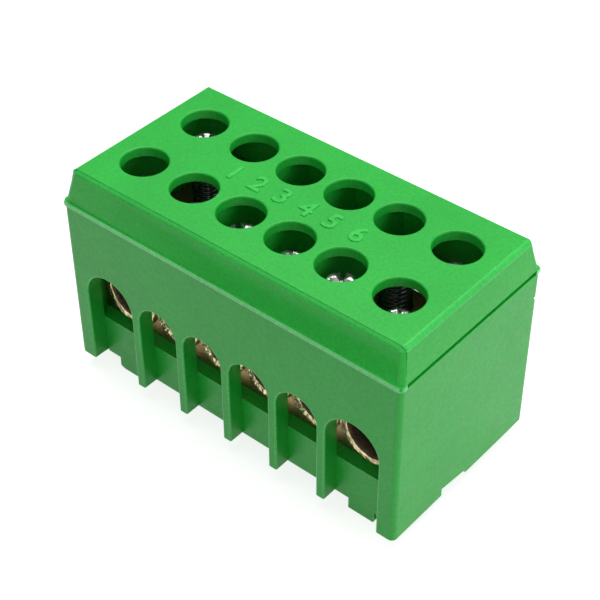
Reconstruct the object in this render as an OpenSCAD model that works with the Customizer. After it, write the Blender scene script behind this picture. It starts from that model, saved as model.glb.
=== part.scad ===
// Twelve-way earth terminal bar for a distribution board.
// One brass bar lies in a green moulded housing under a clip-on cover. Wires go in
// through six arched entries on each long side, and a clamp screw, reached through
// a round hole in the cover, holds each one. The eight middle ways take 16 mm2
// wires and the four end ways take 25 mm2 wires.
//
// Frame: X along the bar, Y across it, Z up. The origin is on the surface that the
// feet stand on, under the middle of the housing. All lengths are in millimetres.

/* [Wire ways] */
// Bore in the brass for a 16 mm2 wire
bore_16_d = 6.9; // [6:0.1:7.4]
// Bore in the brass for a 25 mm2 wire
bore_25_d = 8.8; // [8:0.1:9.2]
// Room round a bore, on each side, at its arched entry in the housing
entry_gap = 0.15; // [0.1:0.05:0.4]
// Height of an entry's centre above its bore's centre
entry_rise = 0.75; // [0.4:0.05:1.2]
// Width of the rib between two entries
rib_w = 1.5; // [1:0.1:2.5]
// Flared edge round the mouth of each bore
flare_16 = 0.8; // [0.3:0.1:0.9]
// Flared edge round the mouth of each end bore
flare_25 = 1; // [0.3:0.1:1.1]

/* [Housing] */
// Width across the two long sides
body_w = 31.3; // [29:0.1:36]
// Height of the housing without its feet
body_h = 28; // [27:0.5:32]
// Width of the upright beside each end entry
jamb_w = 3.05; // [2.2:0.05:4]
// Radius of the upright corners
corner_r = 0.9; // [0.6:0.1:1.4]
// Thickness of the end walls
end_wall_t = 1.2; // [1:0.1:1.6]
// Thickness of the side walls above the bar
upper_wall_t = 1.6; // [1.4:0.1:1.8]
// How far the sill panels lie behind the outer faces, which is also the rib depth
recess = 2.75; // [2.2:0.05:3]
// Height of the floor's top above the housing's lower edge
floor_h = 6.8; // [6:0.1:8]
// Thickness of the floor and of the sill panels below it
floor_t = 1.6; // [1.2:0.1:2]
// Length, along the bar, of each of the four feet
foot_l = 4.5; // [3:0.1:5]
// How far the feet reach below the housing's lower edge
foot_h = 2.3; // [1:0.1:3]
// Distance from a foot's outer end to the outer face of the end wall
foot_inset = 5.5; // [4:0.1:7]
// How far the sill panels' lower edges lie below the housing's lower edge
sill_drop = 0.35; // [0.1:0.05:0.6]
// Length of the low cut in the outer lower corner of one foot in each pair
foot_cut_l = 0.9; // [0.4:0.1:1.4]
// Height of that cut
foot_cut_h = 0.3; // [0.1:0.1:0.8]
// How far the rib beside the other foot lies behind the sill panel's face
foot_rib_in = 0.5; // [0.2:0.1:0.9]
// Height of that rib's lower edge above the feet's lower faces
foot_rib_rise = 0.4; // [0.2:0.1:0.8]
// Height of the low lugs that keep the bar in the middle
lug_h = 1.5; // [1:0.1:2]
// Width of the notch in the lower edge of each end wall, at its steep side
notch_w = 5.2; // [4:0.1:7]
// Height of that notch
notch_h = 1.3; // [0.8:0.1:2]
// Distance of the notch's steep side from the middle of the end wall
notch_y = 4.4; // [4:0.1:6]
// Depth of the small nick in one upright corner
nick_d = 0.9; // [0.4:0.1:1]
// Height of that nick
nick_h = 1.1; // [0.6:0.1:2]
// Distance from the nick's lower end up to the housing's upper edge
nick_drop = 4.8; // [4:0.1:12]

/* [Brass bar] */
// Width of the bar, along the bores
bar_w = 21.6; // [20:0.1:22.4]
// Height of the bar
bar_h = 12; // [11.4:0.1:12.6]
// Height of the bores' centres above the bar's lower face
bore_h = 5.7; // [5.5:0.1:6]
// Gap round the bar in the housing
bar_gap = 0.2; // [0.1:0.05:0.4]

/* [Screws] */
// Outside diameter of the clamp screws
screw_d = 4.9; // [4:0.1:5.2]
// Length of the clamp screws
screw_l = 13; // [12:0.5:13.5]
// Gap between a screw and its tapped hole, on each side
thread_gap = 0.05; // [0.02:0.01:0.08]
// Distance from a screw's axis to the nearer long face of the bar
screw_inset = 4.5; // [4:0.1:5]
// Width of the slot across a screw's head end
slot_w = 0.9; // [0.6:0.1:1.2]
// Depth of that slot
slot_depth = 1.2; // [0.8:0.1:1.6]
// Length of each recess of the cross, from tip to tip
cross_l = 3; // [2.4:0.1:3.4]
// Chamfer at both ends of a screw
screw_chamfer = 0.5; // [0.3:0.1:0.8]

/* [Cover] */
// Height of the cover's sloping band
slope_h = 5.2; // [4:0.1:6]
// How far the sloping band leans in on each side
slope_run = 1.15; // [0.6:0.05:1.6]
// Height of the bead along the cover's lower edge
bead_h = 0.8; // [0.6:0.1:1.4]
// How far the bead stands out of the sloping band
bead_out = 0.3; // [0.2:0.05:0.7]
// How far the bead turns round the rear corner at the end that has no bead
bead_turn = 1.1; // [0.8:0.1:3]
// Height of the open seam under the cover's edge there, over the bare top of the end wall
seam_h = 0.8; // [0.4:0.1:1]
// How far that seam reaches in from the face of the end wall
seam_in = 0.8; // [0.4:0.1:1]
// Thickness of the cover's top
top_t = 1.6; // [1.2:0.1:2]
// Rounding of the cover's top edges
top_r = 0.5; // [0.3:0.1:1.2]
// Holes in the cover over the screws
access_d = 7; // [6:0.1:7.6]
// Rounding of the upper edge of each hole
access_r = 0.3; // [0.1:0.05:0.4]
// Thickness of the skirt that plugs into the housing
skirt_t = 1.2; // [1:0.1:1.6]
// Depth of that skirt below the seam
skirt_h = 3; // [2:0.1:4]
// Gap between the skirt and the housing's walls
skirt_gap = 0.15; // [0.1:0.05:0.25]
// Thickness of the three webs that hold the bar down
web_t = 1.2; // [0.8:0.1:1.6]
// Gap between those webs and the bar
web_gap = 0.2; // [0.1:0.05:0.4]
// Length of each snap rib on the cover's skirt
snap_l = 8; // [5:0.5:10]
// How far a snap rib stands out of the skirt
snap_out = 0.4; // [0.2:0.05:0.5]

/* [Hidden] */

GREEN = [0.26, 0.68, 0.32];
BRASS = [0.78, 0.64, 0.38];
ZINC = [0.74, 0.76, 0.78];

$fn = 48;
EPS = 0.01;      // overlap that joins two solids of one piece
PAST = 1;        // how far a cutter runs past the face it opens

// Ways along the bar: an end way, four middle ways and an end way
entry_16_d = bore_16_d + 2 * entry_gap;
entry_25_d = bore_25_d + 2 * entry_gap;
pitch_16 = entry_16_d + rib_w;
pitch_25 = (entry_16_d + entry_25_d) / 2 + rib_w;
end_x = 1.5 * pitch_16 + pitch_25;
way_x = [-end_x, -1.5 * pitch_16, -0.5 * pitch_16, 0.5 * pitch_16, 1.5 * pitch_16, end_x];
way_bore = [bore_25_d, bore_16_d, bore_16_d, bore_16_d, bore_16_d, bore_25_d];
way_flare = [flare_25, flare_16, flare_16, flare_16, flare_16, flare_25];
row_y = bar_w / 2 - screw_inset;

// Housing
body_l = 2 * (end_x + entry_25_d / 2 + jamb_w);
floor_z = foot_h + floor_h;
body_top = foot_h + body_h;
room_l = body_l - 2 * end_wall_t;
panel_y = body_w / 2 - recess;
upper_y = body_w / 2 - upper_wall_t;
foot_x = body_l / 2 - foot_inset - foot_l / 2;

// Brass bar, lying on the housing's floor
bar_l = room_l - 2 * bar_gap;
bar_top = floor_z + bar_h;
bore_z = floor_z + bore_h;
bar_edge = 0.3;  // chamfer along the bar's upper edges
entry_z = bore_z + entry_rise;

// Screws: how deep each tip stands in the bar's tapped wall
front_depth = [1.6, 1.8, 1.1, 1.5, 0.7, 1.7];
rear_depth = [0.8, 2.6, 1.8, 2.4, 2.1, 1.8];
// Screws: how far each slot is turned from the bar's length, in degrees
front_turn = [20, 75, 150, 5, 118, 60];
rear_turn = [35, 100, 10, 140, 55, 80];
tap_d = screw_d + 2 * thread_gap;

// Cover
band_out = 0.15; // how far the sloping band's lower edge lies outside the end walls
band_in = 0.15;  // how far it lies inside the long sides
band_l = body_l + 2 * band_out;
band_w = body_w - 2 * band_in;
top_l = band_l - 2 * slope_run;
top_w = band_w - 2 * slope_run;
bead_top = body_top + bead_h;
cover_top = bead_top + slope_h;
plate_z = cover_top - top_t;
skirt_l = room_l - 2 * skirt_gap;
skirt_w = 2 * (upper_y - skirt_gap);
snap_x = (way_x[4] + way_x[5]) / 2;
snap_h = 1;      // height of a snap rib
snap_z = body_top - skirt_h / 2;
snap_play = 0.1; // room round a snap rib in its groove

// Plate with rounded corners, centred on the Z axis
module plate(l, w, h, r) {
    linear_extrude(h) {
        square([l, w - 2 * r], center = true);
        square([l - 2 * r, w], center = true);
        for (sx = [-1, 1], sy = [-1, 1])
            translate([sx * (l / 2 - r), sy * (w / 2 - r)]) circle(r);
    }
}

// Runs its children on both long sides; the second side is turned half round
module both_sides() {
    for (turn = [0, 180]) rotate([0, 0, turn]) children();
}

// Arched wire entry through one long side, open at the bottom
module entry(way) {
    d = way_bore[way] + 2 * entry_gap;
    depth = recess + PAST;
    translate([way_x[way], -panel_y, entry_z])
        rotate([90, 0, 0]) cylinder(h = depth, d = d);
    translate([way_x[way] - d / 2, -panel_y - depth, foot_h - PAST])
        cube([d, depth, entry_z - foot_h + PAST]);
}

// Three-sided notch in the lower edge of the end wall at +X
module end_notch() {
    translate([body_l / 2 - end_wall_t - PAST, 0, foot_h])
        rotate([90, 0, 90])
            linear_extrude(end_wall_t + 2 * PAST)
                polygon([
                    [-notch_y, -PAST], [-notch_y, notch_h],
                    [notch_w - notch_y, notch_h / 2],
                    [notch_w - notch_y + notch_h, -PAST]
                ]);
}

// Long three-sided prism along X that lies on a face at y = 0 and stands out in +Y
module ridge(l, h, out) {
    translate([-l / 2, 0, 0])
        rotate([90, 0, 90])
            linear_extrude(l)
                polygon([[-EPS, -h / 2], [0, -h / 2], [out, 0], [0, h / 2], [-EPS, h / 2]]);
}

// Lower edge of one sill panel, a little below the walls
module sill() {
    half = end_x + entry_25_d / 2;
    translate([-half, -panel_y, foot_h - sill_drop])
        cube([2 * half, floor_t, sill_drop + EPS]);
}

// Two feet under one sill panel; the left one's outer lower corner is cut off
module feet() {
    translate([-foot_x, -panel_y + floor_t, 0])
        rotate([90, 0, 0])
            linear_extrude(floor_t)
                polygon([
                    [foot_l / 2, 0], [foot_cut_l - foot_l / 2, 0], [-foot_l / 2, foot_cut_h],
                    [-foot_l / 2, foot_h + EPS], [foot_l / 2, foot_h + EPS]
                ]);
    translate([foot_x - foot_l / 2, -panel_y, 0])
        cube([foot_l, floor_t, foot_h + EPS]);
    // rib from the right foot to the end wall, set back and a little higher
    translate([foot_x + foot_l / 2 - EPS, -panel_y + foot_rib_in, foot_rib_rise])
        cube([
            room_l / 2 - foot_x - foot_l / 2 + 2 * EPS,
            floor_t - foot_rib_in,
            foot_h - foot_rib_rise + EPS
        ]);
}

// Low lug on the floor beside one end of the bar
module bar_lug() {
    y0 = bar_w / 2 + bar_gap;
    lug_l = jamb_w - end_wall_t;
    translate([room_l / 2 - lug_l, -panel_y - EPS, floor_z - EPS])
        cube([lug_l + EPS, panel_y - y0 + EPS, lug_h + EPS]);
}

module housing() {
    color(GREEN)
    difference() {
        union() {
            difference() {
                translate([0, 0, foot_h]) plate(body_l, body_w, body_h, corner_r);
                // room for the bar, and the wider room above it
                translate([-room_l / 2, -panel_y, floor_z])
                    cube([room_l, 2 * panel_y, body_h]);
                translate([-room_l / 2, -upper_y, bar_top])
                    cube([room_l, 2 * upper_y, body_h]);
                // hollow under the floor
                translate([-room_l / 2, -panel_y + floor_t, foot_h - PAST])
                    cube([room_l, 2 * (panel_y - floor_t), floor_h - floor_t + PAST]);
                both_sides() for (way = [0:5]) entry(way);
            }
            both_sides() {
                sill();
                feet();
                bar_lug();
                mirror([1, 0, 0]) bar_lug();
            }
        }
        both_sides() end_notch();
        // grooves for the cover's snap ribs
        both_sides()
            for (side = [-1, 1])
                translate([side * snap_x, upper_y - EPS, snap_z])
                    ridge(snap_l + 2 * snap_play, snap_h + 2 * snap_play, snap_out);
        // nick in one upright corner
        translate([body_l / 2 - 2 * nick_d, body_w / 2, body_top - nick_drop])
            rotate([90, 0, 90])
                linear_extrude(2 * nick_d + PAST)
                    polygon([[-nick_d, nick_h], [EPS, nick_h], [EPS, 0]]);
    }
}

// Long bar with six bores across it and a tapped hole for each screw
module brass_bar() {
    color(BRASS)
    difference() {
        translate([-bar_l / 2, 0, floor_z])
            rotate([90, 0, 90])
                linear_extrude(bar_l)
                    polygon([
                        [-bar_w / 2, 0], [bar_w / 2, 0],
                        [bar_w / 2, bar_h - bar_edge], [bar_w / 2 - bar_edge, bar_h],
                        [-bar_w / 2 + bar_edge, bar_h], [-bar_w / 2, bar_h - bar_edge]
                    ]);
        for (way = [0:5]) {
            translate([way_x[way], bar_w / 2 + PAST, bore_z])
                rotate([90, 0, 0]) cylinder(h = bar_w + 2 * PAST, d = way_bore[way]);
            flared_mouths(way);
            for (side = [-1, 1])
                translate([way_x[way], side * row_y, bore_z])
                    cylinder(h = bar_h, d = tap_d);
        }
    }
}

// Flared mouths at both ends of one bore
module flared_mouths(way) {
    r = way_bore[way] / 2;
    flare = way_flare[way];
    for (turn = [0, 180])
        translate([way_x[way], 0, bore_z])
            rotate([0, 0, turn])
                translate([0, -bar_w / 2 + flare, 0])
                    rotate([90, 0, 0]) cylinder(h = flare + EPS, r1 = r, r2 = r + flare + EPS);
}

// Headless clamp screw with a slot and a cross in its upper end
module clamp_screw(way, side, depth, turn) {
    r = screw_d / 2;
    translate([way_x[way], side * row_y, bar_top - depth])
        color(ZINC)
        difference() {
            union() {
                cylinder(h = screw_chamfer, r1 = r - screw_chamfer, r2 = r);
                translate([0, 0, screw_chamfer])
                    cylinder(h = screw_l - 2 * screw_chamfer, r = r);
                translate([0, 0, screw_l - screw_chamfer])
                    cylinder(h = screw_chamfer, r1 = r, r2 = r - screw_chamfer);
            }
            rotate([0, 0, turn])
                translate([0, 0, screw_l - slot_depth / 2 + EPS]) {
                    cube([screw_d + PAST, slot_w, slot_depth], center = true);
                    cube([slot_w, cross_l, slot_depth], center = true);
                }
        }
}

// Upper half of a ball that rounds one corner of the cover's top
module top_corner() {
    rotate_extrude($fn = 24)
        intersection() {
            circle(top_r, $fn = 24);
            square(top_r);
        }
}

// Solid outside of the cover: sloping band with rounded edges, and the bead under it
module cover_outside() {
    hull() {
        for (sx = [-1, 1], sy = [-1, 1]) {
            translate([sx * (top_l / 2 - top_r), sy * (top_w / 2 - top_r), cover_top - top_r])
                top_corner();
            translate([sx * (band_l / 2 - corner_r), sy * (band_w / 2 - corner_r), body_top])
                cylinder(h = EPS, r = corner_r, $fn = 32);
        }
    }
    // bead: it runs round three sides, stops at the front +X corner and turns round the rear one
    difference() {
        hull() {
            translate([0, 0, body_top + bead_h / 4]) bead_plate(bead_out, bead_h / 4);
            translate([0, 0, body_top]) bead_plate(bead_out / 2, bead_h);
        }
        translate([body_l / 2, -band_w, body_top - PAST])
            cube([band_l, 1.5 * band_w - bead_turn, bead_h + 2 * PAST]);
    }
}

// Outline of the bead, so far outside the sloping band's lower edge
module bead_plate(out, h) {
    plate(band_l + 2 * out, band_w + 2 * out, h, corner_r + out, $fn = 32);
}

// Hole in the cover's top with a rounded upper edge
module access_hole() {
    translate([0, 0, plate_z - PAST]) cylinder(h = top_t + 2 * PAST, d = access_d);
    translate([0, 0, cover_top - access_r])
        rotate_extrude()
            difference() {
                square([access_d / 2 + access_r, access_r + PAST]);
                translate([access_d / 2 + access_r, 0]) circle(access_r);
            }
}

module cover() {
    color(GREEN)
    difference() {
        union() {
            cover_outside();
            // skirt that plugs into the housing
            translate([0, 0, body_top - skirt_h])
                plate(skirt_l, skirt_w, skirt_h + EPS, corner_r / 2);
            both_sides()
                for (side = [-1, 1])
                    translate([side * snap_x, skirt_w / 2, snap_z])
                        ridge(snap_l, snap_h, snap_out);
            for (x = [-pitch_16, 0, pitch_16]) web(x);
        }
        for (part = [0:3]) cover_room(part);
        for (way = [0:5], side = [-1, 1])
            translate([way_x[way], side * row_y, 0]) access_hole();
        // open seam over the bare top of the end wall at +X, between the two corners
        translate([body_l / 2 - seam_in, -band_w / 2 + bead_turn, body_top - PAST])
            cube([band_l, band_w - 2 * bead_turn, seam_h + PAST]);
    }
}

// Web across the cover, from its top down to the bar
module web(x) {
    w = 2 * panel_y - 2 * skirt_gap;
    translate([x - web_t / 2, -w / 2, bar_top + web_gap])
        cube([web_t, w, plate_z - bar_top - web_gap + EPS]);
}

// One of the four rooms between the cover's webs and its ends
module cover_room(part) {
    inner_l = skirt_l / 2 - skirt_t;
    w = skirt_w - 2 * skirt_t;
    edge = [-inner_l, -pitch_16, 0, pitch_16, inner_l];
    x0 = edge[part] + (part == 0 ? 0 : web_t / 2);
    x1 = edge[part + 1] - (part == 3 ? 0 : web_t / 2);
    z0 = body_top - skirt_h - PAST;
    translate([x0, -w / 2, z0]) cube([x1 - x0, w, plate_z - z0]);
}

housing();
cover();
brass_bar();
clamp_screw(0, -1, front_depth[0], front_turn[0]);  // screw_front_1
clamp_screw(1, -1, front_depth[1], front_turn[1]);  // screw_front_2
clamp_screw(2, -1, front_depth[2], front_turn[2]);  // screw_front_3
clamp_screw(3, -1, front_depth[3], front_turn[3]);  // screw_front_4
clamp_screw(4, -1, front_depth[4], front_turn[4]);  // screw_front_5
clamp_screw(5, -1, front_depth[5], front_turn[5]);  // screw_front_6
clamp_screw(0, 1, rear_depth[0], rear_turn[0]);  // screw_rear_1
clamp_screw(1, 1, rear_depth[1], rear_turn[1]);  // screw_rear_2
clamp_screw(2, 1, rear_depth[2], rear_turn[2]);  // screw_rear_3
clamp_screw(3, 1, rear_depth[3], rear_turn[3]);  // screw_rear_4
clamp_screw(4, 1, rear_depth[4], rear_turn[4]);  // screw_rear_5
clamp_screw(5, 1, rear_depth[5], rear_turn[5]);  // screw_rear_6
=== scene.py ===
# Twelve-way earth terminal bar: how the finished block looks.
# Lengths in millimetres are written as a number times MM; everything in Blender is in metres.
import math

import bmesh
import bpy
import numpy as np
from mathutils import Matrix, Vector


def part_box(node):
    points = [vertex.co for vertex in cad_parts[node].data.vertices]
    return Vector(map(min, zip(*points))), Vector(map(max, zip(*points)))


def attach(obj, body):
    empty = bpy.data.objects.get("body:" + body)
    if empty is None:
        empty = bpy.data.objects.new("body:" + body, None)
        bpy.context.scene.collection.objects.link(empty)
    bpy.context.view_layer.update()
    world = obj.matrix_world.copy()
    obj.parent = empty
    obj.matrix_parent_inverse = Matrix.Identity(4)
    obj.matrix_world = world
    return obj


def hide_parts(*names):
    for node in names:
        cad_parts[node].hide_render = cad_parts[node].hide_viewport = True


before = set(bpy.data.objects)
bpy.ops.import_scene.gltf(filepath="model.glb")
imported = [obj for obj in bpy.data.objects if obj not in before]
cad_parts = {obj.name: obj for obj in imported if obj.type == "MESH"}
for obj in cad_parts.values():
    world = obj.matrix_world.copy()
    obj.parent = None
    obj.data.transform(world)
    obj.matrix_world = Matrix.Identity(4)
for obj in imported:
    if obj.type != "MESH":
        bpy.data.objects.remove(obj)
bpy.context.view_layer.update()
MM = 0.001

# Housing: one moulding in green polyamide, with the walls, the ribs between the wire
# entries, the sill panels below them, the floor and four feet. It comes out of the
# mould with small radii on its edges and a satin, faintly pebbled skin. The roundings of
# its outer edges are painted a lighter green as a highlight.
HOUSING_GREEN = (0.012, 0.49, 0.045, 1)
# Painted highlight: a lighter green for the edge roundings, in place of the light they catch.
EDGE_HIGHLIGHT_GREEN = (0.05, 0.68, 0.1, 1)
EDGE_RADIUS = 0.14 * MM
ARCH_RADIUS = 0.28 * MM
ENTRY_MARGIN = 2 * MM
WALL_FOOT = 2.4 * MM
NICK_DEPTH = 0.9 * MM
NICK_HEIGHT = 1.1 * MM
NICK_DROP = 4.8 * MM
NICK_MARGIN = 0.1 * MM
NICK_SHIFT = 0.5 * MM
LUG_HEIGHT = 1.5 * MM
LUG_X = 27 * MM
NEAR = 0.05 * MM
WELD = 0.001 * MM
FLAT_ANGLE = math.radians(0.5)
CORNER_ANGLE = math.radians(40)
ROUNDING_STEPS = 3


def node_group(name, inputs, outputs):
    """An empty shader group; inputs and outputs are (name, socket type, default) rows."""
    group = bpy.data.node_groups.new(name, "ShaderNodeTree")
    for title, kind, default in inputs:
        socket = group.interface.new_socket(title, in_out="INPUT", socket_type=kind)
        socket.default_value = default
    for title, kind in outputs:
        group.interface.new_socket(title, in_out="OUTPUT", socket_type=kind)
    return group, group.nodes.new("NodeGroupInput"), group.nodes.new("NodeGroupOutput")


def noise(group, coordinates, scale, detail=3.0):
    """A noise texture whose scale counts bumps per millimetre of Object coordinates."""
    texture = group.nodes.new("ShaderNodeTexNoise")
    texture.inputs["Scale"].default_value = scale
    texture.inputs["Detail"].default_value = detail
    group.links.new(coordinates, texture.inputs["Vector"])
    return texture.outputs["Fac"]


def in_millimetres(group):
    """Object coordinates times 1000, so that a texture's scale is in features per millimetre."""
    place = group.nodes.new("ShaderNodeTexCoord")
    scale = group.nodes.new("ShaderNodeVectorMath")
    scale.operation = "SCALE"
    scale.inputs["Scale"].default_value = 1 / MM
    group.links.new(place.outputs["Object"], scale.inputs[0])
    return scale.outputs["Vector"]


def arithmetic(tree, operation, first, second):
    """Output of a math node on two values, each of them a number or another node's output."""
    node = tree.nodes.new("ShaderNodeMath")
    node.operation = operation
    for socket, value in zip(node.inputs, (first, second)):
        if isinstance(value, (int, float)):
            socket.default_value = value
        else:
            tree.links.new(value, socket)
    return node.outputs["Value"]


def spread(group, value, low, high):
    """Stretches a noise value between 0.3 and 0.7 over low to high."""
    stretch = group.nodes.new("ShaderNodeMapRange")
    stretch.inputs["From Min"].default_value = 0.3
    stretch.inputs["From Max"].default_value = 0.7
    stretch.inputs["To Min"].default_value = low
    stretch.inputs["To Max"].default_value = high
    group.links.new(value, stretch.inputs["Value"])
    return stretch.outputs["Result"]


SKIN_OUTPUTS = [
    ("Color", "NodeSocketColor"), ("Roughness", "NodeSocketFloat"), ("Height", "NodeSocketFloat")
]


def moulded_skin():
    """Group for a moulding's skin: pebble height, roughness that varies, and cloudy colour."""
    group, given, result = node_group(
        "moulded_skin",
        [("Color", "NodeSocketColor", (0.5, 0.5, 0.5, 1)), ("Roughness", "NodeSocketFloat", 0.4)],
        SKIN_OUTPUTS,
    )
    place = in_millimetres(group)
    pebble = noise(group, place, scale=2.2)
    cloud = noise(group, place, scale=0.12)
    flow = noise(group, place, scale=0.9, detail=4.0)
    value = arithmetic(
        group, "MULTIPLY", spread(group, cloud, 0.95, 1.05), spread(group, pebble, 0.91, 1.09)
    )
    rough = arithmetic(group, "ADD", given.outputs["Roughness"], spread(group, flow, -0.04, 0.05))
    shade = group.nodes.new("ShaderNodeHueSaturation")
    group.links.new(value, shade.inputs["Value"])
    group.links.new(given.outputs["Color"], shade.inputs["Color"])
    group.links.new(shade.outputs["Color"], result.inputs["Color"])
    group.links.new(rough, result.inputs["Roughness"])
    group.links.new(pebble, result.inputs["Height"])
    return group


SKIN = moulded_skin()


def skinned(name, group, values, strength, depth):
    """Material whose Principled BSDF takes colour, roughness and bump from a skin group that has
    the given values; strength and depth are the bump's."""
    material = bpy.data.materials.new(name)
    material.use_nodes = True
    tree = material.node_tree
    shader = tree.nodes["Principled BSDF"]
    skin = tree.nodes.new("ShaderNodeGroup")
    skin.node_tree = group
    for title, value in values.items():
        skin.inputs[title].default_value = value
    bump = tree.nodes.new("ShaderNodeBump")
    bump.inputs["Strength"].default_value = strength
    bump.inputs["Distance"].default_value = depth
    tree.links.new(skin.outputs["Color"], shader.inputs["Base Color"])
    tree.links.new(skin.outputs["Roughness"], shader.inputs["Roughness"])
    tree.links.new(skin.outputs["Height"], bump.inputs["Height"])
    tree.links.new(bump.outputs["Normal"], shader.inputs["Normal"])
    return material


def moulded_plastic(name, colour, roughness, pebble_depth):
    """Moulded plastic with the moulding's skin at full strength."""
    values = {"Color": colour, "Roughness": roughness}
    return skinned(name, SKIN, values, strength=1, depth=pebble_depth)


def in_scene(name, data):
    """A new object in the scene, at the origin, unturned and unscaled."""
    thing = bpy.data.objects.new(name, data)
    bpy.context.scene.collection.objects.link(thing)
    return thing


def even_shading(piece):
    """Shades a piece so that its large faces stay flat and its roundings carry the turn."""
    weighted = piece.modifiers.new("even_shading", "WEIGHTED_NORMAL")
    weighted.mode = "FACE_AREA"
    weighted.weight = 100
    weighted.keep_sharp = True


def rounded_copy(node, name, materials, radius_at, reshape=None):
    """A CAD node's surface as one closed mesh, its flat faces whole and its outer edges rounded.
    radius_at gives an edge's radius from its middle, and the rounding takes the last material.
    reshape changes the array of the points first."""
    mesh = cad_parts[node].data.copy()
    mesh.name = name
    if reshape:
        points = np.empty(3 * len(mesh.vertices))
        mesh.vertices.foreach_get("co", points)
        points = points.reshape(-1, 3)
        reshape(points)
        mesh.vertices.foreach_set("co", points.ravel())
    shape = bmesh.new()
    shape.from_mesh(mesh)
    bmesh.ops.remove_doubles(shape, verts=shape.verts, dist=WELD)
    bmesh.ops.dissolve_limit(
        shape, angle_limit=FLAT_ANGLE, verts=shape.verts, edges=shape.edges
    )
    weight = shape.edges.layers.float.new("bevel_weight_edge")
    corners = [edge for edge in shape.edges if edge.calc_face_angle(0) > CORNER_ANGLE]
    radii = [
        radius_at((edge.verts[0].co + edge.verts[1].co) / 2) if edge.is_convex else 0
        for edge in corners
    ]
    for edge, radius in zip(corners, radii):
        edge.smooth = radius > 0
        edge[weight] = radius / max(radii)
    shape.to_mesh(mesh)
    shape.free()
    mesh.materials.clear()
    for material in materials:
        mesh.materials.append(material)
    mesh.polygons.foreach_set("material_index", np.zeros(len(mesh.polygons), int))
    mesh.shade_smooth()
    piece = in_scene(name, mesh)
    bevel = piece.modifiers.new("edge_radius", "BEVEL")
    bevel.width = max(radii)
    bevel.segments = ROUNDING_STEPS
    bevel.limit_method = "WEIGHT"
    bevel.material = len(materials) - 1
    bevel.use_clamp_overlap = False
    return piece


def fit(piece, body, slot, *nodes):
    """Attaches a finished piece to its body and hides the CAD nodes that it stands for; slot is not
    used.
    """
    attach(piece, body)
    if nodes:
        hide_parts(*nodes)
    return piece


def trim_housing(points):
    """Lowers the nick in an upright corner and presses its inmost line further in, and levels
    the low lugs beside the bar's ends with the floor that the bar lies on."""
    inmost = housing_high.y - NICK_DEPTH
    foot = housing_high.z - NICK_DROP
    end = housing_high.x - 2 * NICK_DEPTH
    corner = (points[:, 0] > end - NICK_MARGIN) & (points[:, 1] > inmost - NICK_MARGIN)
    high = points[:, 2] - foot
    nick = corner & (high > -NICK_MARGIN) & (high < NICK_HEIGHT + NICK_MARGIN)
    points[nick, 2] -= NICK_SHIFT
    points[nick & (points[:, 1] < inmost + NICK_MARGIN), 1] -= NICK_SHIFT
    top = bar_low.z + LUG_HEIGHT
    lug = (np.abs(points[:, 2] - top) < NEAR) & (np.abs(points[:, 0]) > LUG_X)
    points[lug, 2] = bar_low.z


def housing_radius(middle):
    """Radius of the housing's edges: a wire entry's outline in a long side is rounder."""
    entry = (
        abs(middle.y) > housing_high.y - NEAR and abs(middle.x) < housing_high.x - ENTRY_MARGIN
        and housing_low.z + WALL_FOOT < middle.z < housing_high.z - ENTRY_MARGIN
    )
    return ARCH_RADIUS if entry else EDGE_RADIUS


housing_low, housing_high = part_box("housing")
bar_low, bar_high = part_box("brass_bar")
housing_plastic = moulded_plastic(
    "green_housing_plastic", HOUSING_GREEN, roughness=0.42, pebble_depth=0.03 * MM
)
# The edge roundings take this lighter green as a painted highlight.
painted_edge_highlight = moulded_plastic(
    "green_painted_edge_highlight", EDGE_HIGHLIGHT_GREEN, roughness=0.3, pebble_depth=0.01 * MM
)
housing = rounded_copy(
    "housing", "housing_moulding", [housing_plastic, painted_edge_highlight], housing_radius, trim_housing
)
even_shading(housing)
fit(housing, "block", "green_housing", "housing")

# Cover: a second green moulding that clips into the housing. Its sloping band ends in a
# bead over the seam, and a round hole with a soft upper edge stands over each screw.
# The bead, the rounding of the top and the edge roundings are painted lighter as highlights.
COVER_GREEN = (0.016, 0.55, 0.05, 1)
# Painted highlight: the paler green of the bead along the seam.
BEAD_HIGHLIGHT_GREEN = (0.2, 0.85, 0.28, 1)
COVER_RADIUS = 0.12 * MM
TOP_INSET = 1.25 * MM
TOP_REACH = 0.45 * MM
TOP_SOFTER = 2.0
ROUNDING_TOP = 0.02 * MM
ROUNDING_FOOT = 0.98 * MM
ROUNDING_INSET = 2.5 * MM
BEAD_HEIGHT = 0.8 * MM
BEAD_END_RISE = 0.2
NUMERAL_HEIGHT = 3.2 * MM
NUMERAL_PITCH = 4.4 * MM
NUMERAL_RISE = 0.22 * MM
NUMERAL_ROUND = 0.09 * MM
FIGURE_TO_LETTER_SIZE = 0.7


def soften_cover(points):
    """Widens the rounding between the cover's top and its sloping sides, and presses the end of
    the bead nearly flat. Each point of the rounding moves away from the sharp edge or corner that
    it rounds by the same factor along each axis."""
    past = np.abs(points[:, :2]) - (np.array(housing_high.xy) - TOP_INSET)
    deep = cover_top - points[:, 2]
    near = (np.abs(past) < TOP_REACH) & (deep < TOP_REACH)[:, None]
    points[:, :2] += np.where(near, (TOP_SOFTER - 1) * past * np.sign(points[:, :2]), 0)
    points[:, 2] -= np.where(near.any(axis=1), (TOP_SOFTER - 1) * deep, 0)
    proud = points[:, 0] > housing_high.x
    points[proud, 0] = housing_high.x + BEAD_END_RISE * (points[proud, 0] - housing_high.x)


def at_bead(height):
    """Whether a height lies between the bead's lower and upper edges; also for an array of them."""
    return abs(height - housing_high.z - BEAD_HEIGHT / 2) < BEAD_HEIGHT / 2 + NEAR


def cover_radius(middle):
    """Radius of the cover's edges; the bead's own edges are too close together to round."""
    return 0 if at_bead(middle.z) else COVER_RADIUS


def face_middles(mesh):
    """Middle of each face, as an array with a row for each."""
    middle = np.empty(3 * len(mesh.polygons))
    mesh.polygons.foreach_get("center", middle)
    return middle.reshape(-1, 3)


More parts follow.
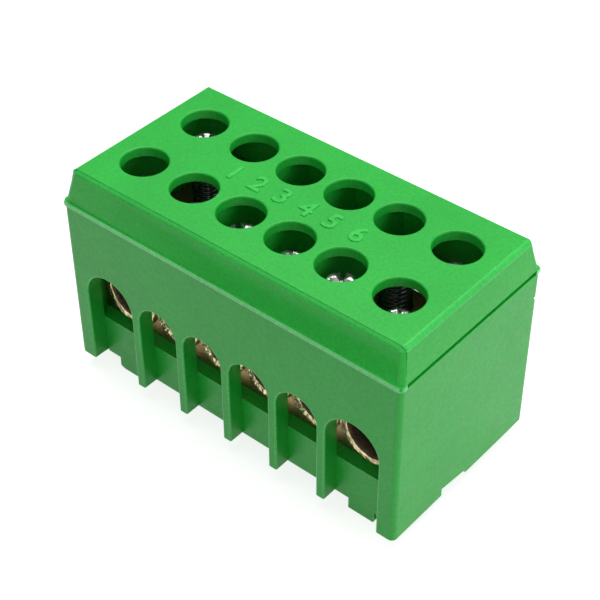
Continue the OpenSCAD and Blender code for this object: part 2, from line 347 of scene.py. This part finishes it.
def cover_finish(mesh):
    """Index of each face's material: 1 on the bead, 2 on the rounding of the top, 0 elsewhere; 1 and
    2 are painted highlights.
    """
    middle = face_middles(mesh)
    out = np.abs(middle[:, :2]) - np.array(housing_high.xy)
    deep = cover_top - middle[:, 2]
    on_bead = at_bead(middle[:, 2]) & (out > 0).any(axis=1)
    on_rounding = (deep > ROUNDING_TOP) & (deep < ROUNDING_FOOT)
    on_rounding &= (out > -ROUNDING_INSET).any(axis=1)
    return on_bead + 2 * on_rounding


def raised_numerals(figures, pitch, top):
    """Closed solids in the shape of the figures, in a row along X, that stand out of the top."""
    numerals = bmesh.new()
    for place, figure in enumerate(figures):
        curve = bpy.data.curves.new("numeral", "FONT")
        curve.body = figure
        curve.size = NUMERAL_HEIGHT / FIGURE_TO_LETTER_SIZE
        curve.align_x = "CENTER"
        curve.extrude = NUMERAL_RISE - NUMERAL_ROUND
        curve.bevel_depth = NUMERAL_ROUND
        curve.bevel_resolution = 1
        curve.resolution_u = 3
        text = in_scene("numeral", curve)
        bpy.context.view_layer.update()
        mesh = bpy.data.meshes.new_from_object(
            text.evaluated_get(bpy.context.evaluated_depsgraph_get())
        )
        x = (place - (len(figures) - 1) / 2) * pitch
        mesh.transform(Matrix.Translation((x, -NUMERAL_HEIGHT / 2, top)))
        numerals.from_mesh(mesh)
        bpy.data.objects.remove(text)
    bmesh.ops.remove_doubles(numerals, verts=numerals.verts, dist=WELD)
    bmesh.ops.recalc_face_normals(numerals, faces=numerals.faces)
    mesh = bpy.data.meshes.new("cover_numerals")
    numerals.to_mesh(mesh)
    numerals.free()
    mesh.materials.clear()
    return in_scene("cover_numerals", mesh)


cover_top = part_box("cover")[1].z
cover_plastic = moulded_plastic(
    "green_cover_plastic", COVER_GREEN, roughness=0.4, pebble_depth=0.03 * MM
)
bead_painted_highlight = moulded_plastic(
    "green_bead_painted_highlight", BEAD_HIGHLIGHT_GREEN, roughness=0.25, pebble_depth=0.01 * MM
)
cover = rounded_copy(
    "cover", "cover_moulding", [cover_plastic, bead_painted_highlight, painted_edge_highlight],
    cover_radius, soften_cover,
)
cover.data.polygons.foreach_set("material_index", cover_finish(cover.data))
even_shading(cover)
fit(cover, "block", "green_cover", "cover")
numerals = raised_numerals("123456", NUMERAL_PITCH, cover_top)
# The numerals take the lighter edge green, a painted highlight on their tops and outlines.
numerals.data.materials.append(painted_edge_highlight)
fit(numerals, "block", "green_cover")

# Brass bar: extruded brass, sawn off and drilled right through from side to side. It is dull
# and tarnished, and the drill has left a bright torn edge round the mouth of each bore.
# The bores are lined in a darker, greyer brass as painted shade.
BRASS_COLOUR = (0.5, 0.36, 0.17, 1)
BRASS_STAIN = (0.16, 0.1, 0.05, 1)
# Painted shade: the darker, greyer brass that lines the bores.
BORE_SHADE_COLOUR = (0.3, 0.2, 0.13, 1)
BORE_STAIN = (0.1, 0.06, 0.04, 1)
BURR_COLOUR = (1, 0.8, 0.5, 1)
BAR_RADIUS = 0.1 * MM
BORE_HEIGHT = 5.7 * MM
BORE_MARGIN = 0.02 * MM
COLLAR_RISE = 0.65 * MM
COLLAR_LIP = 0.12 * MM
COLLAR_LAP = 0.1 * MM
TEARS = [tear * MM for tear in (0.04, 0.1, 0.11, 0.08, 0.06, 0.05)]


def by_way(end, middle):
    """A value for each of the six ways along the bar; the ways at the ends take thicker wires."""
    return [end] + [middle] * 4 + [end]


BORE_X = [x * MM for x in (-22.7, -13.05, -4.35, 4.35, 13.05, 22.7)]
BORE_RADIUS = by_way(4.4 * MM, 3.45 * MM)
BORE_FLARE = by_way(1.0 * MM, 0.8 * MM)
COLLAR_IN = by_way(4.15 * MM, 3.15 * MM)
COLLAR_OUT = by_way(5.1 * MM, 4.15 * MM)


def bare_metal_skin():
    """Group for bare metal: stains and specks in its colour, uneven roughness and height."""
    group, given, result = node_group(
        "bare_metal_skin",
        [
            ("Color", "NodeSocketColor", (0.6, 0.6, 0.6, 1)),
            ("Stain", "NodeSocketColor", (0.1, 0.1, 0.1, 1)),
            ("Stained", "NodeSocketFloat", 0.4),
            ("Roughness", "NodeSocketFloat", 0.35),
            ("Grain", "NodeSocketFloat", 3.0),
        ],
        SKIN_OUTPUTS,
    )
    place = in_millimetres(group)
    grain = noise(group, place, scale=3.0, detail=5.0)
    group.links.new(given.outputs["Grain"], grain.node.inputs["Scale"])
    patches = noise(group, place, scale=0.7, detail=4.0)
    amount = arithmetic(group, "MULTIPLY", spread(group, patches, 0.0, 1.6), given.outputs["Stained"])
    specks = arithmetic(group, "MULTIPLY", amount, spread(group, grain, 0.2, 1.5))
    specks.node.use_clamp = True
    tone = group.nodes.new("ShaderNodeMix")
    tone.data_type = "RGBA"
    group.links.new(specks, tone.inputs["Factor"])
    group.links.new(given.outputs["Color"], tone.inputs["A"])
    group.links.new(given.outputs["Stain"], tone.inputs["B"])
    rough = arithmetic(group, "ADD", given.outputs["Roughness"], spread(group, patches, -0.08, 0.14))
    group.links.new(tone.outputs["Result"], result.inputs["Color"])
    group.links.new(rough, result.inputs["Roughness"])
    group.links.new(grain, result.inputs["Height"])
    return group


BARE_METAL = bare_metal_skin()


def bare_metal(name, colour, stain, stained, roughness, grain, depth, metallic=1.0):
    """Bare metal with its own stains; metallic is under one where a film of dirt covers it."""
    values = {
        "Color": colour, "Stain": stain, "Stained": stained, "Roughness": roughness, "Grain": grain
    }
    material = skinned(name, BARE_METAL, values, strength=0.6, depth=depth)
    material.node_tree.nodes["Principled BSDF"].inputs["Metallic"].default_value = metallic
    return material


def new_piece(name, points, quads, fans):
    """A smooth-shaded mesh piece from numpy arrays of points (in metres), quads and triangles."""
    mesh = bpy.data.meshes.new(name)
    mesh.from_pydata(points.tolist(), [], quads.tolist() + fans.tolist())
    mesh.shade_smooth()
    return in_scene(name, mesh)


def ragged(chance, turns, rows, finest):
    """Smooth random height on a closed turn by rows grid: white noise whose waves round the turn
    fade out above a finest number of waves; its spread is one."""
    waves = np.fft.rfft(chance.normal(size=(turns, rows)), axis=0)
    fade = 1 / (1 + (np.arange(len(waves)) / finest) ** 4)
    noise = np.fft.irfft(waves * fade[:, None], n=turns, axis=0)
    return noise / noise.std()


def torn_mouths(centres, flares, inners, outers, tears):
    """Closed rings of torn metal, each a collar that stands up round one bore's mouth. Seven rows
    run out over its face, three go down its outside and over the edge of the flare, three close
    the ring inside the bar, and the last lines the bore. Random height is added to the face, and
    spikes to its outer edge. Each of flares is a bore's radius and the depth of its flare."""
    turns, face_rows, rows = 288, 7, 13
    turn = np.linspace(0, 2 * np.pi, turns, endpoint=False)[:, None]
    up = np.linspace(0, 1, face_rows)[None, :]
    flat = np.ones((turns, 1))
    i, j = np.meshgrid(np.arange(turns), np.arange(rows), indexing="ij")
    next_i, next_j = (i + 1) % turns, (j + 1) % rows
    ring_quads = np.stack([
        i * rows + j, next_i * rows + j, next_i * rows + next_j, i * rows + next_j
    ], axis=-1).reshape(-1, 4)
    points, quads = [], []
    rims = zip(centres, flares, inners, outers, tears)
    for index, (centre, (radius, flare), inner, outer, tear) in enumerate(rims):
        chance = np.random.default_rng(40 + index)
        height = 0.5 * tear * ragged(chance, turns, face_rows, finest=34)
        height = height + 0.4 * tear * ragged(chance, turns, 1, finest=9)
        spikes = tear * np.clip(ragged(chance, turns, 1, finest=40), 0, 3)
        wander = 0.6 * tear * ragged(chance, turns, 1, finest=12)
        wander_in = 0.5 * tear * ragged(chance, turns, 1, finest=20)
        past_flare = (radius + flare + COLLAR_LAP) * flat
        across = np.hstack([
            inner + (outer - inner) * up + wander * up + wander_in * (1 - up),
            outer + COLLAR_LIP / 2 + wander + spikes, (outer + COLLAR_LAP / 2) * flat,
            past_flare, past_flare, (radius + COLLAR_LAP) * flat, inner * flat,
        ])
        stands = np.hstack([
            COLLAR_RISE + height - COLLAR_LIP * (1 - up) ** 2, COLLAR_RISE - COLLAR_LIP + spikes / 2,
            COLLAR_LAP * flat, COLLAR_LAP / 5 * flat, -COLLAR_LAP * flat,
            (-flare - COLLAR_LAP) * flat, (-flare - COLLAR_LAP) * flat,
        ])
        facing = np.sign(centre[1])
        ring = np.stack([
            centre[0] + across * np.cos(turn),
            centre[1] + facing * stands,
            centre[2] + across * np.sin(turn),
        ], axis=-1)
        faces = ring_quads + index * turns * rows
        points.append(ring.reshape(-1, 3))
        quads.append(faces if facing < 0 else faces[:, ::-1])
    lining = np.tile(np.arange(rows) == rows - 1, turns * len(centres))
    return (np.concatenate(points), np.concatenate(quads), np.empty((0, 3), int)), lining


def with_modifiers(piece):
    """Turns a piece's modifiers into its own mesh."""
    shaped = piece.evaluated_get(bpy.context.evaluated_depsgraph_get())
    mesh = bpy.data.meshes.new_from_object(shaped)
    piece.modifiers.clear()
    piece.data = mesh


def bore_faces(mesh):
    """Which faces of the bar line a bore: their middles lie within its radius of its axis and
    further in than its flare."""
    middle = face_middles(mesh)
    axis = bar_low.z + BORE_HEIGHT
    inside = np.zeros(len(middle), bool)
    for x, radius, flare in zip(BORE_X, BORE_RADIUS, BORE_FLARE):
        near = np.hypot(middle[:, 0] - x, middle[:, 2] - axis) < radius + BORE_MARGIN
        inside |= near & (np.abs(middle[:, 1]) < bar_high.y - flare - BORE_MARGIN)
    return inside


dull_brass = bare_metal(
    "dull_brass", BRASS_COLOUR, BRASS_STAIN, stained=0.5, roughness=0.42, grain=4.0,
    depth=0.03 * MM,
)
bore_painted_shade = bare_metal(
    "bore_painted_shade", BORE_SHADE_COLOUR, BORE_STAIN, stained=0.5, roughness=0.5, grain=2.0,
    depth=0.03 * MM, metallic=0.4,
)
torn_brass = bare_metal(
    "torn_brass", BURR_COLOUR, BRASS_STAIN, stained=0.45, roughness=0.28, grain=4.0,
    depth=0.03 * MM,
)
bar = rounded_copy("brass_bar", "brass_bar_metal", [dull_brass], lambda middle: BAR_RADIUS)
with_modifiers(bar)
bar.data.materials.append(bore_painted_shade)
bar.data.polygons.foreach_set("material_index", bore_faces(bar.data).astype(int))
even_shading(bar)
fit(bar, "block", "brass", "brass_bar")

rings, lining = torn_mouths(
    [(x, face, bar_low.z + BORE_HEIGHT) for face in (bar_low.y, bar_high.y) for x in BORE_X],
    list(zip(BORE_RADIUS, BORE_FLARE)) * 2, COLLAR_IN * 2, COLLAR_OUT * 2, TEARS * 2,
)
mouths = new_piece("bore_mouths", *rings)
mouths.data.materials.append(torn_brass)
# The row that lines each bore takes the bores' painted shade.
mouths.data.materials.append(bore_painted_shade)
mouths.data.polygons.foreach_set("material_index", lining.astype(int))
fit(mouths, "block", "brass")

# Clamp screws: twelve headless M5 screws in bright zinc-plated steel, with a rolled thread
# and, in the upper end, a slot and a cross. Each stands at its own height and turn. The
# thread is painted dark grey as shade; the upper end keeps the bright zinc.
ZINC_COLOUR = (0.9, 0.9, 0.88, 1)
ZINC_STAIN = (0.25, 0.25, 0.24, 1)
# Painted shade: the dark grey of the thread, which stands in the shade of the holes.
THREAD_SHADE_COLOUR = (0.2, 0.22, 0.22, 1)
THREAD_STAIN = (0.05, 0.05, 0.05, 1)
SCREW_RADIUS = 2.44 * MM
SCREW_LENGTH = 13 * MM
SCREW_CHAMFER = 0.5 * MM
THREAD_PITCH = 0.8 * MM
THREAD_DEPTH = 0.42 * MM
END_RIM = 0.15 * MM
SLOT_LENGTH = 6 * MM
SLOT_WIDTH = 0.9 * MM
SLOT_DEPTH = 1.2 * MM
CROSS_LENGTH = 3 * MM
SLOT_TURN = {
    "front": (20, 75, 150, 5, 118, 60),
    "rear": (35, 100, 10, 140, 55, 80),
}


def threaded_rod():
    """Skin of a threaded rod that stands on the origin, as a grid of turn by height. The radius
    is the crest's less a triangle wave of height / pitch - turn, cut flat at crest and root and
    kept inside a cone at each end. A fan of triangles closes each end at a pole."""
    turns, rows = 56, 181
    turn = np.linspace(0, 2 * np.pi, turns, endpoint=False)
    height = np.linspace(0, SCREW_LENGTH, rows)
    wave = np.abs(2 * ((height[None, :] / THREAD_PITCH - turn[:, None] / (2 * np.pi)) % 1) - 1)
    r = SCREW_RADIUS - THREAD_DEPTH * np.clip(1.3 * wave - 0.15, 0, 1)
    cone = SCREW_RADIUS - SCREW_CHAMFER + np.minimum(height, SCREW_LENGTH - height)
    r = np.minimum(r, cone[None, :])
    side = np.stack([
        r * np.cos(turn)[:, None],
        r * np.sin(turn)[:, None],
        np.broadcast_to(height, r.shape),
    ], axis=-1).reshape(-1, 3)
    points = np.concatenate([side, [[0, 0, 0], [0, 0, SCREW_LENGTH]]])
    i, j = np.meshgrid(np.arange(turns), np.arange(rows - 1), indexing="ij")
    on = (i + 1) % turns
    quads = np.stack([
        i * rows + j, on * rows + j, on * rows + j + 1, i * rows + j + 1
    ], axis=-1).reshape(-1, 4)
    edge = np.arange(turns)
    after = (edge + 1) % turns
    bottom = np.stack([after * rows, edge * rows, np.full(turns, turns * rows)], axis=-1)
    top = np.stack([
        edge * rows + rows - 1, after * rows + rows - 1, np.full(turns, turns * rows + 1)
    ], axis=-1)
    return points, quads, np.concatenate([bottom, top])


def tapered_bar(top, foot, depth):
    """A closed block that stands out of the screw's end and reaches a depth into it: a rectangle
    of top, as length and width, and one of foot, joined corner to corner."""
    corners = np.array([(-1, -1), (1, -1), (1, 1), (-1, 1)]) / 2
    low = np.c_[corners * foot, np.full(4, SCREW_LENGTH - depth)]
    high = np.c_[corners * top, np.full(4, SCREW_LENGTH + SCREW_CHAMFER)]
    quads = np.array([
        (3, 2, 1, 0), (4, 5, 6, 7), (0, 1, 5, 4), (1, 2, 6, 5), (2, 3, 7, 6), (3, 0, 4, 7)
    ])
    return np.concatenate([low, high]), quads, np.empty((0, 3), int)


def cut_by(piece, cutter):
    """Takes a closed cutter out of a piece, and the cutter out of the scene."""
    cut = piece.modifiers.new("cut", "BOOLEAN")
    cut.object = cutter
    cut.operation = "DIFFERENCE"
    cut.solver = "EXACT"
    with_modifiers(piece)
    bpy.data.objects.remove(cutter)


def end_faces(mesh):
    """Which faces make the screw's upper end: its rim, its face and the slot and cross in it."""
    middle = face_middles(mesh)
    across = np.hypot(middle[:, 0], middle[:, 1])
    deep = SCREW_LENGTH - middle[:, 2]
    core = SCREW_RADIUS - THREAD_DEPTH - NEAR
    return (deep < END_RIM) | ((deep < 2 * SLOT_DEPTH) & (across < core))


screw_pattern = new_piece("screw_pattern", *threaded_rod())
cut_by(screw_pattern, new_piece("slot", *tapered_bar(
    (SLOT_LENGTH, SLOT_WIDTH), (SLOT_LENGTH, 0.9 * SLOT_WIDTH), SLOT_DEPTH
)))
cut_by(screw_pattern, new_piece("cross", *tapered_bar(
    (0.9 * SLOT_WIDTH, CROSS_LENGTH), (0.7 * SLOT_WIDTH, CROSS_LENGTH / 2), 1.25 * SLOT_DEPTH
)))
pattern = screw_pattern.data
pattern.materials.append(bare_metal(
    "thread_painted_shade", THREAD_SHADE_COLOUR, THREAD_STAIN, stained=0.45, roughness=0.25, grain=5.0,
    depth=0.02 * MM,
))
pattern.materials.append(bare_metal(
    "bright_zinc", ZINC_COLOUR, ZINC_STAIN, stained=0.45, roughness=0.28, grain=2.5,
    depth=0.12 * MM,
))
pattern.polygons.foreach_set("material_index", end_faces(pattern).astype(int))
for side in SLOT_TURN:
    for way, turn in enumerate(SLOT_TURN[side], 1):
        node = f"screw_{side}_{way}"
        low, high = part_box(node)
        foot = Vector(((low.x + high.x) / 2, (low.y + high.y) / 2, low.z))
        mesh = pattern.copy()
        mesh.name = f"{node}_thread"
        mesh.transform(Matrix.Translation(foot) @ Matrix.Rotation(math.radians(turn), 4, "Z"))
        fit(in_scene(f"{node}_thread", mesh), node, "zinc_steel", node)
bpy.data.objects.remove(screw_pattern)

# Camera: a short telephoto lens that looks down on the front corner at +X, from about three
# and a half times the block's length away.
CAMERA_AZIMUTH = math.radians(40.21)
CAMERA_ELEVATION = math.radians(40.64)
CAMERA_ROLL = math.radians(-0.19)
CAMERA_DISTANCE = 219 * MM
CAMERA_AIM = Vector((0.28, 0.543, 18.572)) * MM
CAMERA_LENS = 90.95


def look_from(azimuth, elevation, roll):
    """Camera axes as columns: right, up and back, where back points from the aim to the camera."""
    back = Vector((
        math.sin(azimuth) * math.cos(elevation),
        -math.cos(azimuth) * math.cos(elevation),
        math.sin(elevation),
    ))
    level = Vector((math.cos(azimuth), math.sin(azimuth), 0))
    raised = back.cross(level)
    right = math.cos(roll) * level + math.sin(roll) * raised
    up = math.cos(roll) * raised - math.sin(roll) * level
    return Matrix((right, up, back)).transposed()


camera_data = bpy.data.cameras.new("camera")
camera_data.lens = CAMERA_LENS
camera_data.sensor_width = 36
camera = in_scene("camera", camera_data)
axes = look_from(CAMERA_AZIMUTH, CAMERA_ELEVATION, CAMERA_ROLL)
stand = CAMERA_AIM + CAMERA_DISTANCE * axes.col[2]
camera.matrix_world = Matrix.Translation(stand) @ axes.to_4x4()
bpy.context.scene.camera = camera

# Floor and light: a plain white sheet under the block, a pale room, and soft boxes above
# and beside it.
FLOOR_HALF = 5000 * MM
FLOOR_GREY = 0.55
FLOOR_GLOW = 0.8
ROOM_GLOW = 0.28
LAMP_AIM = Vector((0, 0, 20 * MM))


def plain_floor():
    """Pale floor that the camera and the metal see as white, and that keeps the block's shadow."""
    material = bpy.data.materials.new("white_floor")
    material.use_nodes = True
    tree = material.node_tree
    shader = tree.nodes["Principled BSDF"]
    shader.inputs["Base Color"].default_value = (FLOOR_GREY, FLOOR_GREY, FLOOR_GREY, 1)
    shader.inputs["Roughness"].default_value = 0.8
    shader.inputs["Emission Color"].default_value = (1, 1, 1, 1)
    path = tree.nodes.new("ShaderNodeLightPath")
    seen = path.outputs["Is Camera Ray"]
    for ray in ("Is Glossy Ray", "Is Transmission Ray"):
        seen = arithmetic(tree, "MAXIMUM", seen, path.outputs[ray])
    glow = arithmetic(tree, "MULTIPLY", seen, FLOOR_GLOW)
    tree.links.new(glow, shader.inputs["Emission Strength"])
    mesh = bpy.data.meshes.new("floor")
    h = FLOOR_HALF
    mesh.from_pydata([(-h, -h, 0), (h, -h, 0), (h, h, 0), (-h, h, 0)], [], [(0, 1, 2, 3)])
    mesh.materials.append(material)
    floor = in_scene("floor", mesh)


def soft_box(name, place, width, power):
    """Square area lamp at a place, facing the block; lengths are in metres, power in watts."""
    data = bpy.data.lights.new(name, "AREA")
    data.size = width
    data.energy = power
    lamp = in_scene(name, data)
    lamp.location = place
    lamp.rotation_euler = (Vector(place) - LAMP_AIM).to_track_quat("Z", "Y").to_euler()


plain_floor()
soft_box("overhead", (-0.05, 0.12, 0.5), width=0.45, power=1.75)
soft_box("right", (0.45, 0.1, 0.2), width=0.3, power=0.6)
soft_box("near_camera", (0.25, -0.4, 0.35), width=0.2, power=0.15)
world = bpy.data.worlds.new("room")
bpy.context.scene.world = world
world.use_nodes = True
world.node_tree.nodes["Background"].inputs["Color"].default_value = (1, 1, 1, 1)
world.node_tree.nodes["Background"].inputs["Strength"].default_value = ROOM_GLOW
bpy.context.scene.view_settings.view_transform = "Standard"
